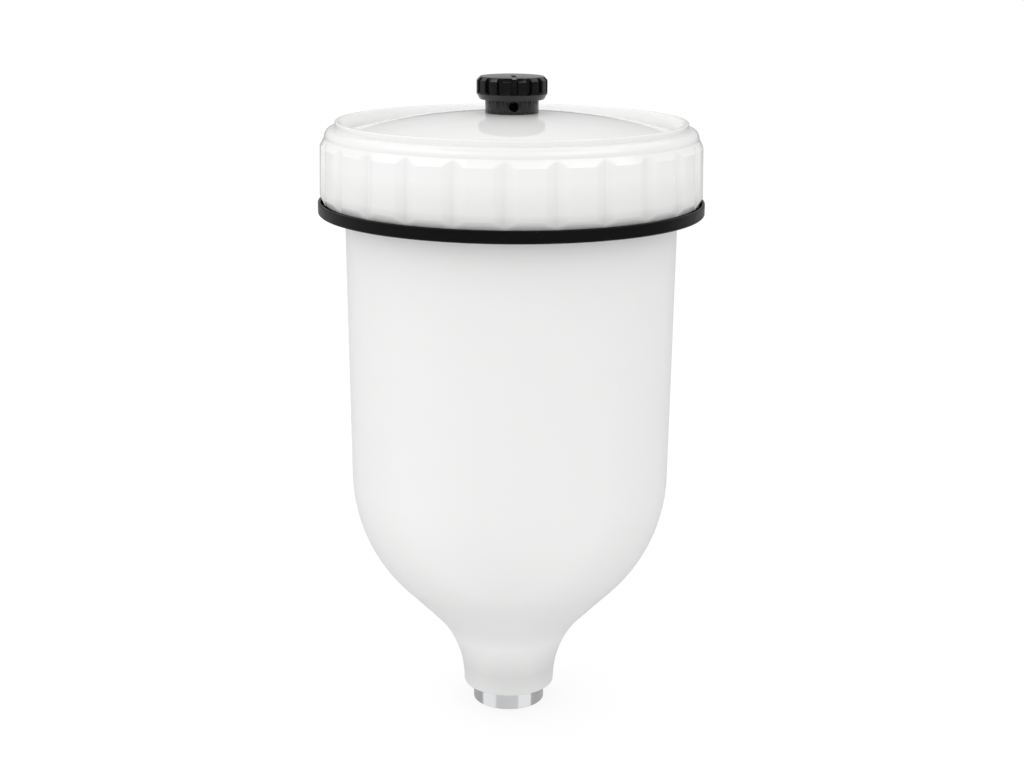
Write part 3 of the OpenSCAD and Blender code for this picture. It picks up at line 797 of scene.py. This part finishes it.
@dataclass
class DripRing:
    """Black ring under the lid, with an open gutter that is stiffened by small ribs."""

    side_r: float
    draft: float
    outer_r: float = 51.37
    bottom_z: float = 140.7
    height: float = 3.25
    wall: float = 0.8
    floor: float = 1.0
    bevel: float = 0.3
    sleeve: float = 1.0
    fit: float = 0.05
    shoulder_z: float = 145.0
    ribs: int = 24
    rib_t: float = 0.8
    rib_h: float = 1.1
    rib_root: float = 0.3
    rib_edge: float = 0.15

    def build(self) -> None:
        """Makes the ring with its gutter ribs."""
        low_z, lip_z = self.bottom_z, self.bottom_z + self.height
        floor_z, top_z = self.bottom_z + self.floor, self.shoulder_z - self.fit
        low_r = self.side_r - (self.shoulder_z - low_z) * math.tan(math.radians(self.draft)) + self.fit
        high_r = self.side_r + self.fit
        sleeve_r, lip_r = high_r + self.sleeve, self.outer_r - self.wall
        outline = [
            Corner(low_r, low_z, 0.15), Corner(self.outer_r - self.bevel, low_z, 0.25),
            Corner(self.outer_r, low_z + self.bevel, 0.25), Corner(self.outer_r, lip_z, self.wall / 2),
            Corner(lip_r, lip_z, self.wall / 2), Corner(lip_r, floor_z, 0.35),
            Corner(sleeve_r, floor_z, 0.35), Corner(sleeve_r, top_z, 0.25), Corner(high_r, top_z, 0.2),
        ]
        root = self.rib_root
        size = (lip_r - sleeve_r + 2 * root, self.rib_t, self.rib_h + root)
        middle = (sleeve_r - root + size[0] / 2, floor_z - root + size[2] / 2)
        ring = joined([turned(outline, 240), *ribs_around(self.ribs, 0.5, size, middle, self.rib_edge)])
        place_piece(ring, "drip_ring_body", Finishes.RING, Body.CUP, "drip_ring")


@dataclass
class Lid:
    """Screw lid: grooved skirt, rounded shoulder, upright rim and domed top."""

    bore_r: float
    lead_in: float = 0.5
    skirt_z: float = 143.8
    skirt_r: float = 50.82
    skirt_top_r: float = 50.52
    bevel_w: float = 0.85
    bevel_h: float = 2.0
    top_bevel_z: float = 158.6
    band_r: float = 49.37
    band_z: float = 160.6
    bead_r: float = 2.35
    bead_band: float = 0.2
    rim_r: float = 46.57
    rim_wall: float = 1.2
    rim_h: float = 1.7
    rim_edge: float = 0.45
    dome_r: float = 183.0
    dome_z: float = 166.943
    dome_wall: float = 2.0
    dome_margin: float = 0.8
    seat_z: float = 159.6
    seat_r: float = 42.38
    hole_r: float = 3.05
    grooves: int = 25
    groove_phase: float = -1.9
    groove_depth: float = 0.95
    groove_half: float = 2.8
    groove_apex: float = 0.12
    groove_blend: float = 0.05
    reach_in: float = 0.9
    reach_up: float = 0.3
    columns: tuple[float, ...] = (0, 0.15, 0.5, 1.2, 2.0, 2.6, 2.8, 3.0, 3.6, 4.8)
    thread_z: float = 146.3
    thread_start: float = 23.0
    thread_sweep: float = 432.0

    def dome(self, r: float, wall: float = 0.0) -> float:
        """Height of the domed top at a radius, moved inwards by a wall."""
        radius = self.dome_r - wall
        return self.dome_z - wall - radius + math.sqrt(radius**2 - r**2)

    def dome_line(self, end_r: float, steps: int, wall: float = 0.0) -> list[Corner]:
        """Corners of the dome from the vent's hole to a radius."""
        radii = [self.hole_r + (end_r - self.hole_r) * i / steps for i in range(steps + 1)]
        return [Corner(r, self.dome(r, wall)) for r in radii]

    def side(self, z: float) -> float:
        """Radius of the skirt's tapered side at a height."""
        low_z = self.skirt_z + self.bevel_h
        return self.skirt_r + (self.skirt_top_r - self.skirt_r) / (self.top_bevel_z - low_z) * (z - low_z)

    def outline(self) -> list[Corner]:
        """Closed outline from the skirt's lower edge over the rim and dome and back under the lid."""
        low_r, low_z = self.skirt_r - self.bevel_w, self.skirt_z + self.bevel_h
        bead_c = (self.band_r - self.bead_r, self.band_z + self.bead_band)
        bead_top = bead_c[1] + self.bead_r
        rim_top, rim_in = bead_top + self.rim_h, self.rim_r - self.rim_wall
        shoulder, band = (self.skirt_top_r, self.top_bevel_z), (self.band_r, self.band_z)
        return [
            Corner(self.bore_r + self.lead_in, self.skirt_z, 0.3), Corner(low_r, self.skirt_z, 0.18),
            *between((low_r, self.skirt_z), (self.skirt_r, low_z), (0.4, 0.7)),
            Corner(self.skirt_r, low_z, 0.5),
            *[Corner(self.side(low_z + h), low_z + h) for h in (1.5, 4.0, 7.0, 10.0)],
            Corner(*shoulder, 0.22), *between(shoulder, band, [i / 7 for i in range(1, 7)]),
            Corner(*band, 0.3), *arc(bead_c, self.bead_r, 0, 86, 14),
            Corner(self.rim_r, bead_top, 0.35), Corner(self.rim_r, rim_top, self.rim_edge),
            Corner(rim_in, rim_top, self.rim_edge), Corner(rim_in, self.dome(rim_in)),
            *reversed(self.dome_line(rim_in - self.dome_margin, 60)),
            *self.dome_line(self.seat_r, 16, self.dome_wall),
            Corner(self.seat_r, self.seat_z, 0.3), Corner(self.bore_r, self.seat_z, 0.4),
            Corner(self.bore_r, self.skirt_z + self.lead_in, 0.3),
        ]

    def grooved(self, r: float, z: float, turn: float) -> float:
        """Radius of a point of the lid with its grip grooves, as grooved_solid asks for it."""
        if r < self.skirt_top_r - self.groove_depth - self.reach_in or z > self.band_z + self.reach_up:
            return r
        across = math.hypot(turn * self.skirt_r, self.groove_apex)
        groove = self.side(z) + self.groove_depth * (across / self.groove_half - 1)
        return smooth_min(r, groove, self.groove_blend)

    def build(self) -> None:
        """Makes the lid and its inner thread."""
        shell = grooved_solid(
            self.outline(), self.grooves, self.columns, self.skirt_r, self.groove_phase, self.grooved,
        )
        place_piece(shell, "lid_shell", Finishes.LID, Body.LID, "lid", sharp=50.0)
        thread = THREAD.ridge(
            self.bore_r, -THREAD.depth, self.thread_z, self.thread_start, self.thread_sweep,
        )
        place_piece(thread, "lid_thread", Finishes.LID, Body.LID)


@dataclass
class Gasket:
    """Flat seal between the lid and the brim."""

    width: float = 4.6
    edge: float = 0.3

    def build(self) -> None:
        """Makes the gasket with soft edges, from the size of its CAD node."""
        low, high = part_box("lid_gasket")
        outer, bottom, top = high.x / MM, low.z / MM, high.z / MM
        corners = ((outer - self.width, bottom), (outer, bottom), (outer, top), (outer - self.width, top))
        outline = [Corner(r, z, self.edge) for r, z in corners]
        place_piece(turned(outline, 180), "gasket_ring", Finishes.GASKET, Body.SEAL, "lid_gasket")


@dataclass
class Vent:
    """The fixed hollow stem of the vent with its washer, nut, O-ring and splash cap."""

    stem_r: float = 3.0
    shoulder_r: float = 4.5
    shoulder_z: float = 167.593
    post_r: float = 3.6
    post_z: float = 170.193
    top_z: float = 174.193
    bottom_z: float = 159.793
    air_r: float = 1.2
    air_tip: float = 0.4
    port_z: float = 168.893
    port_r: float = 1.1
    port_start: float = 0.2
    port_length: float = 6.0
    washer_z: float = 166.793
    nut_z: float = 161.793
    nut_t: float = 3.0
    nut_flats: float = 9.0
    nut_edge: float = 0.25
    o_ring_z: float = 171.893
    o_ring_d: float = 0.94
    o_ring_r: float = 3.17
    o_ring_play: float = 0.04
    cap_r: float = 4.6
    cap_z: float = 157.693
    cap_floor: float = 1.2
    slot_w: float = 1.6
    slot_h: float = 0.9
    turn: float = 4.5
    fit: float = 0.05

    def build(self) -> None:
        """Makes every piece of the vent that stays with the lid."""
        self.build_stem()
        self.build_seals()
        self.build_nut()
        self.build_cap()

    def build_stem(self) -> None:
        """Stem with its shoulder, O-ring groove, air passage and side port."""
        half = self.o_ring_d / 2 + 2 * self.o_ring_play
        floor_r = self.o_ring_r - self.o_ring_d / 2 - self.o_ring_play
        groove_z, groove_top = self.o_ring_z - half, self.o_ring_z + half
        outline = [
            Corner(self.air_r, self.bottom_z), Corner(self.stem_r, self.bottom_z, 0.25),
            Corner(self.stem_r, self.shoulder_z), Corner(self.shoulder_r, self.shoulder_z, 0.1),
            Corner(self.shoulder_r, self.post_z, 0.2), Corner(self.post_r, self.post_z, 0.1),
            Corner(self.post_r, groove_z), Corner(floor_r, groove_z), Corner(floor_r, groove_top),
            Corner(self.post_r, groove_top), Corner(self.post_r, self.top_z, 0.3), Corner(0, self.top_z),
            Corner(0, self.port_z + self.air_tip), Corner(self.air_r, self.port_z),
        ]
        port = laid_to_front(
            cone(self.port_r, self.port_r, self.port_start, self.port_length, 32), self.port_z, self.turn,
        )
        stem = turned(outline, 96)
        place_piece(stem, "vent_stem_body", Finishes.VENT, Body.LID, "vent_stem", cutters=[port])

    def build_seals(self) -> None:
        """Washer under the stem's shoulder and the O-ring in its groove."""
        inner = self.stem_r + self.fit
        washer = [
            Corner(inner, self.washer_z, 0.15), Corner(self.shoulder_r, self.washer_z, 0.2),
            Corner(self.shoulder_r, self.shoulder_z, 0.2), Corner(inner, self.shoulder_z, 0.15),
        ]
        place_piece(turned(washer, 72), "washer_ring", Finishes.SEAL, Body.LID, "vent_washer")
        section = arc((self.o_ring_r, self.o_ring_z), self.o_ring_d / 2, 0, 345, 23)
        place_piece(turned(section, 72), "o_ring", Finishes.SEAL, Body.LID, "vent_o_ring")

    def build_nut(self) -> None:
        """Hexagon nut with bevelled edges, bored for the stem."""
        corner_r = self.nut_flats / 2 / math.cos(math.pi / 6)
        nut = cone(corner_r, corner_r, self.nut_z, self.nut_t, 6)
        turn_mesh(nut, 30)
        bevel_edges(nut, self.nut_edge)
        bore_r = self.stem_r + self.fit
        bore = cone(bore_r, bore_r, self.nut_z - self.nut_t / 2, 2 * self.nut_t, 64)
        place_piece(nut, "vent_nut_body", Finishes.VENT, Body.LID, "vent_nut", cutters=[bore])

    def build_cap(self) -> None:
        """Splash cap with its air slots."""
        top, inner = self.nut_z - self.fit, self.stem_r + self.fit
        floor_z = self.cap_z + self.cap_floor
        outline = [
            Corner(0, self.cap_z), Corner(self.cap_r, self.cap_z, 0.5), Corner(self.cap_r, top, 0.3),
            Corner(inner, top, 0.1), Corner(inner, floor_z, 0.2), Corner(0, floor_z),
        ]
        slot = block((self.slot_w, 3 * self.cap_r, self.slot_h))
        shift_mesh(slot, 0, floor_z + self.slot_h / 2)
        cap = turned(outline, 96)
        place_piece(cap, "splash_cap_body", Finishes.NATURAL, Body.LID, "splash_cap", cutters=[slot])


@dataclass
class Knob:
    """Black ribbed vent knob with its collar, vent hole and index groove."""

    turn: float = 4.5
    base_z: float = 166.89
    collar_r: float = 7.05
    collar_h: float = 3.503
    head_r: float = 9.4
    head_h: float = 6.3
    top_bevel: float = 1.0
    low_bevel_w: float = 0.9
    low_bevel_h: float = 1.5
    crown: float = 0.4
    ribs: int = 15
    groove_depth: float = 0.9
    groove_half: float = 0.9
    groove_floor_half: float = 0.65
    groove_start: float = 1.5
    groove_run: float = 0.45
    groove_lift: float = 0.3
    groove_blend: float = 0.06
    flat_blend: float = 0.1
    reach_in: float = 0.5
    reach_down: float = 0.1
    shoulder_bore_r: float = 4.56
    shoulder_bore_z: float = 170.493
    post_bore_r: float = 3.66
    post_bore_z: float = 174.493
    hole_z: float = 168.893
    hole_r: float = 1.3
    hole_start: float = 2.0
    hole_bevel_r: float = 1.75
    hole_bevel_depth: float = 0.5
    index_inner_r: float = 3.0
    index_inner_w: float = 1.1
    index_outer_w: float = 1.3
    index_inner_depth: float = -0.15
    index_outer_depth: float = 0.35
    index_clear: float = 2.0
    columns: tuple[float, ...] = (0, 0.3, 0.55, 0.65, 0.73, 0.82, 0.9, 1.0, 1.2, 1.6)

    @property
    def head_z(self) -> float:
        """Height of the head's underside."""
        return self.base_z + self.collar_h

    @property
    def edge_z(self) -> float:
        """Height of the edge between the top and its bevel."""
        return self.head_z + self.head_h - self.crown

    def outline(self) -> list[Corner]:
        """Closed outline of the turned blank, bored from below."""
        top_r = self.head_r - self.top_bevel
        wall_z, bevel_z = self.head_z + self.low_bevel_h, self.edge_z - self.top_bevel
        shares = [1 - i / 8 for i in range(1, 8)]
        return [
            Corner(self.shoulder_bore_r, self.base_z, 0.15), Corner(self.collar_r, self.base_z, 0.12),
            Corner(self.collar_r, self.head_z, 0.12),
            Corner(self.head_r - self.low_bevel_w, self.head_z, 0.2), Corner(self.head_r, wall_z, 0.18),
            *between((self.head_r, wall_z), (self.head_r, bevel_z), (0.08, 0.16, 0.3, 0.6, 0.9)),
            Corner(self.head_r, bevel_z, 1.0),
            *between((self.head_r, bevel_z), (top_r, self.edge_z), (0.65, 0.8, 0.9)),
            Corner(top_r, self.edge_z, 0.18),
            *[Corner(top_r * t, self.edge_z + self.crown * (1 - t**2)) for t in shares],
            Corner(0, self.edge_z + self.crown), Corner(0, self.post_bore_z),
            Corner(self.post_bore_r, self.post_bore_z, 0.2),
            *[Corner(r, self.shoulder_bore_z, 0.1) for r in (self.post_bore_r, self.shoulder_bore_r)],
        ]

    def ribbed(self, r: float, z: float, turn: float) -> float:
        """Radius of a point of the head with its flat-faced ribs, as grooved_solid asks for it."""
        if r < self.head_r - self.groove_depth - self.reach_in or z < self.head_z + self.reach_down:
            return r
        half_pitch = math.pi / self.ribs
        half_rib = half_pitch - self.groove_half / self.head_r
        flat = self.head_r * math.cos(half_rib) / math.cos(min(half_pitch - abs(turn), half_rib))
        slope = self.groove_depth / (self.groove_half - self.groove_floor_half)
        beyond = max(0.0, abs(turn) * self.head_r - self.groove_floor_half)
        floor = self.head_r - self.groove_depth + beyond * slope
        open_share = smooth_step((z - self.head_z - self.groove_start) / self.groove_run)
        closed = self.head_r + self.groove_lift
        groove = closed + (floor - closed) * open_share
        return smooth_min(smooth_min(r, flat, self.flat_blend), groove, self.groove_blend)

    def hole_cutter(self) -> BMesh:
        """Cutter for the vent hole and its bevel."""
        wide = 2 * self.hole_bevel_r - self.hole_r
        bevel_start = self.collar_r - self.hole_bevel_depth
        parts = (
            cone(self.hole_r, self.hole_r, self.hole_start, self.collar_r, 48),
            cone(self.hole_r, wide, bevel_start, 2 * self.hole_bevel_depth, 48),
        )
        return laid_to_front(joined(parts), self.hole_z, self.turn)

    def index_cutter(self) -> BMesh:
        """Cutter for the index groove, which widens and deepens to the head's edge."""
        bm = bmesh.new()
        inner = (self.index_inner_w / 2, -self.index_inner_r, self.edge_z - self.index_inner_depth)
        outer = (self.index_outer_w / 2, -self.head_r, self.edge_z - self.index_outer_depth)
        order = ((-1, inner), (1, inner), (1, outer), (-1, outer))
        corners = [(side * x, y, z) for side, (x, y, z) in order]
        base = bm.faces.new([bm.verts.new(Vector(corner) * MM) for corner in corners])
        grown = bmesh.ops.extrude_face_region(bm, geom=[base])
        upper = [item for item in grown["geom"] if isinstance(item, BMVert)]
        bmesh.ops.translate(bm, verts=upper, vec=(0, 0, self.index_clear * MM))
        bmesh.ops.recalc_face_normals(bm, faces=bm.faces)
        turn_mesh(bm, self.turn)
        return bm

    def build(self) -> None:
        """Makes the knob."""
        blank = grooved_solid(self.outline(), self.ribs, self.columns, self.head_r, self.turn, self.ribbed)
        cutters = [self.hole_cutter(), self.index_cutter()]
        place_piece(blank, "vent_knob_body", Finishes.KNOB, Body.KNOB, "vent_knob", cutters=cutters)


@dataclass
class Studio:
    """White studio: two tall soft boxes left and right of the camera, a pale floor and the camera.

    Spans are angles between which a level changes: azimuths from the camera's side towards +X for sides, gaps
    and back_sides, heights for the others. A box has its middle's azimuth and half its width.
    """

    camera_mm: Triple = (0.0, -444.594, 210.854)
    yaw: float = 0.06
    pitch: float = -15.1092
    roll: float = 0.345
    lens: float = 58.82
    sensor: float = 36.0
    clip: Span = (0.01, 20.0)
    horizon: float = 1.285
    zenith: float = 1.0
    lean: float = 0.115
    table_level: float = 0.79
    table_back: float = 0.52
    table_sides: Span = (60.0, 70.0)
    table_edge: Span = (-15.0, -12.0)
    gap_level: float = 0.2
    side_level: float = 0.52
    left_gap: Span = (-85.0, -45.0)
    right_gap: Span = (85.0, 125.0)
    knob_dim: float = 0.55
    knob_edge: Span = (-7.5, -6.0)
    back_level: float = 0.53
    back_sides: Span = (95.0, 125.0)
    back_foot: Span = (0.0, 4.0)
    top_level: float = 0.95
    top_edge: Span = (25.0, 40.0)
    overhead_level: float = 0.08
    overhead_edge: Span = (62.0, 70.0)
    left_box: Span = (-68.0, 26.0)
    right_box: Span = (56.0, 24.0)
    box_blur: float = 0.5
    box_growth: float = 9.0
    box_reach: Span = (-25.0, 45.0)
    box_low: float = 1.1
    box_low_edge: Span = (-16.0, -13.0)
    box_high: float = 2.0
    box_bottom: Span = (30.0, 33.0)
    box_top: Span = (62.0, 64.0)
    floor_size: float = 6.0
    floor_shade: float = 0.25
    floor_colour: float = 0.79
    floor_light: float = 0.98
    floor_glow: float = 0.80

    def build(self) -> None:
        """Makes the camera, the light and the floor."""
        self.build_camera()
        self.build_world()
        self.build_floor()
        bpy.context.scene.view_settings.view_transform = "Standard"

    def build_camera(self) -> None:
        """Camera at the photograph's viewing angle."""
        data = bpy.data.cameras.new("camera")
        data.lens, data.sensor_width = self.lens, self.sensor
        data.clip_start, data.clip_end = self.clip
        camera = bpy.data.objects.new("camera", data)
        bpy.context.scene.collection.objects.link(camera)
        yaw, tilt, roll = (
            Matrix.Rotation(math.radians(angle), 4, axis)
            for angle, axis in ((-self.yaw, "Z"), (90 + self.pitch, "X"), (self.roll, "Z"))
        )
        camera.matrix_world = Matrix.Translation(Vector(self.camera_mm) * MM) @ (yaw @ tilt) @ roll
        bpy.context.scene.camera = camera

    def build_world(self) -> None:
        """World that lights the cup evenly, has soft boxes in its reflections and is white to the camera."""
        world = bpy.data.worlds.new("studio")
        bpy.context.scene.world = world
        tree = Tree(world)
        direction = tree.add("ShaderNodeTexCoord").outputs["Generated"]
        parts = tree.add("ShaderNodeSeparateXYZ", {"Vector": direction}).outputs
        path = tree.add("ShaderNodeLightPath").outputs
        even, mirrored = self.even_light(tree, parts), self.mirror_light(tree, parts)
        strength = tree.mixed(tree.mixed(even, mirrored, path["Is Glossy Ray"]), 1.0, path["Is Camera Ray"])
        sky = tree.add("ShaderNodeBackground", {"Color": WHITE, "Strength": strength})
        tree.add("ShaderNodeOutputWorld", {"Surface": sky.outputs[0]})

    def even_light(self, tree: Tree, parts: NodeOutputs) -> NodeSocket:
        """Level of the soft light of a white tent, a little stronger from the left."""
        rise = tree.mixed(self.horizon, self.zenith, tree.math("MAXIMUM", parts["Z"], 0.0))
        return tree.math("MULTIPLY", rise, tree.math("MULTIPLY_ADD", parts["X"], -self.lean, 1.0))

    def mirror_light(self, tree: Tree, parts: NodeOutputs) -> NodeSocket:
        """What shiny surfaces mirror: table, dim room, back wall, ceiling and two tall soft boxes.

        Args:
            tree: The world's nodes.
            parts: Outputs X, Y and Z of the direction.

        Returns:
            The level of the light.
        """
        forwards = tree.math("MULTIPLY", parts["Y"], -1.0)
        azimuth = tree.math("DEGREES", tree.math("ARCTAN2", parts["X"], forwards))
        height = tree.math("DEGREES", tree.math("ARCSINE", parts["Z"]))
        aside = tree.math("ABSOLUTE", azimuth)
        table = tree.ramp(aside, self.table_sides, self.table_level, self.table_back)
        left = tree.ramp(azimuth, self.left_gap, self.side_level, self.gap_level)
        right = tree.ramp(azimuth, self.right_gap, self.gap_level, self.side_level)
        dim = tree.ramp(height, self.knob_edge, 1.0, self.knob_dim)
        room = tree.math("MULTIPLY", tree.math("MAXIMUM", left, right), dim)
        wall = tree.mixed(room, self.back_level, tree.ramp(aside, self.back_sides))
        level = tree.mixed(room, wall, tree.ramp(height, self.back_foot))
        level = tree.mixed(table, level, tree.ramp(height, self.table_edge))
        level = tree.mixed(level, self.top_level, tree.ramp(height, self.top_edge))
        level = tree.mixed(level, self.overhead_level, tree.ramp(height, self.overhead_edge))
        growth = tree.ramp(height, self.box_reach, 0.0, self.box_growth)
        windows = [self.window(tree, azimuth, growth, *box) for box in (self.left_box, self.right_box)]
        low_part = tree.ramp(height, self.box_low_edge, self.box_low, 0.0)
        high_part = tree.math(
            "MULTIPLY", tree.ramp(height, self.box_bottom, 0.0, self.box_high),
            tree.ramp(height, self.box_top, 1.0, 0.0),
        )
        both = tree.math("ADD", low_part, high_part)
        return tree.math("MAXIMUM", level, tree.math("MULTIPLY", tree.math("MAXIMUM", *windows), both))

    def window(
        self, tree: Tree, azimuth: NodeSocket, growth: NodeSocket, middle: float, half: float,
    ) -> NodeSocket:
        """1 inside a range of azimuths that grows on both sides, and 0 outside, with narrow soft edges."""
        off = tree.math("ABSOLUTE", tree.math("SUBTRACT", azimuth, middle))
        edge = (half - self.box_blur, half + self.box_blur)
        return tree.ramp(tree.math("SUBTRACT", off, growth), edge, 1.0, 0.0)

    def build_floor(self) -> None:
        """Pale floor that keeps a soft shadow and lets reflections see the studio beyond it."""
        bm = bmesh.new()
        bmesh.ops.create_circle(bm, cap_ends=True, segments=96, radius=self.floor_size / 2)
        floor = loose_object(bm, "floor")
        mat = bpy.data.materials.new("floor_paper")
        tree = Tree(mat)
        path = tree.add("ShaderNodeLightPath").outputs
        paper = tree.add("ShaderNodeBsdfDiffuse", {"Color": (*[self.floor_colour] * 3, 1.0)}).outputs[0]
        share = self.floor_shade
        white = (1 - share * self.floor_colour * self.floor_light) / (1 - share)
        strength = tree.mixed(self.floor_glow, white, path["Is Camera Ray"])
        glow = tree.add("ShaderNodeEmission", {"Color": WHITE, "Strength": strength}).outputs[0]
        shown = tree.add("ShaderNodeMixShader", {0: share, 1: glow, 2: paper}).outputs[0]
        clear = tree.add("ShaderNodeBsdfTransparent").outputs[0]
        seen_through = tree.math("MAXIMUM", path["Is Glossy Ray"], path["Is Transmission Ray"])
        whole = tree.add("ShaderNodeMixShader", {0: seen_through, 1: shown, 2: clear}).outputs[0]
        tree.add("ShaderNodeOutputMaterial", {"Surface": whole})
        floor.data.materials.append(mat)


@dataclass
class PaintCup:
    """The whole cup: what stays with the gun, and the lid with its vent."""

    cup: Cup = field(default_factory=Cup)

    def build(self) -> None:
        """Builds the sub-assemblies in order."""
        self.cup.build()
        DripRing(self.cup.side_r, self.cup.draft).build()
        Gasket().build()
        Lid(self.cup.collar_r + THREAD.depth + THREAD.clearance).build()
        Vent().build()
        Knob().build()


def main() -> None:
    """Builds the studio and the cup."""
    logging.basicConfig(level=logging.INFO, format="%(name)s: %(message)s")
    Studio().build()
    PaintCup().build()


if __name__ == "__main__":
    main()
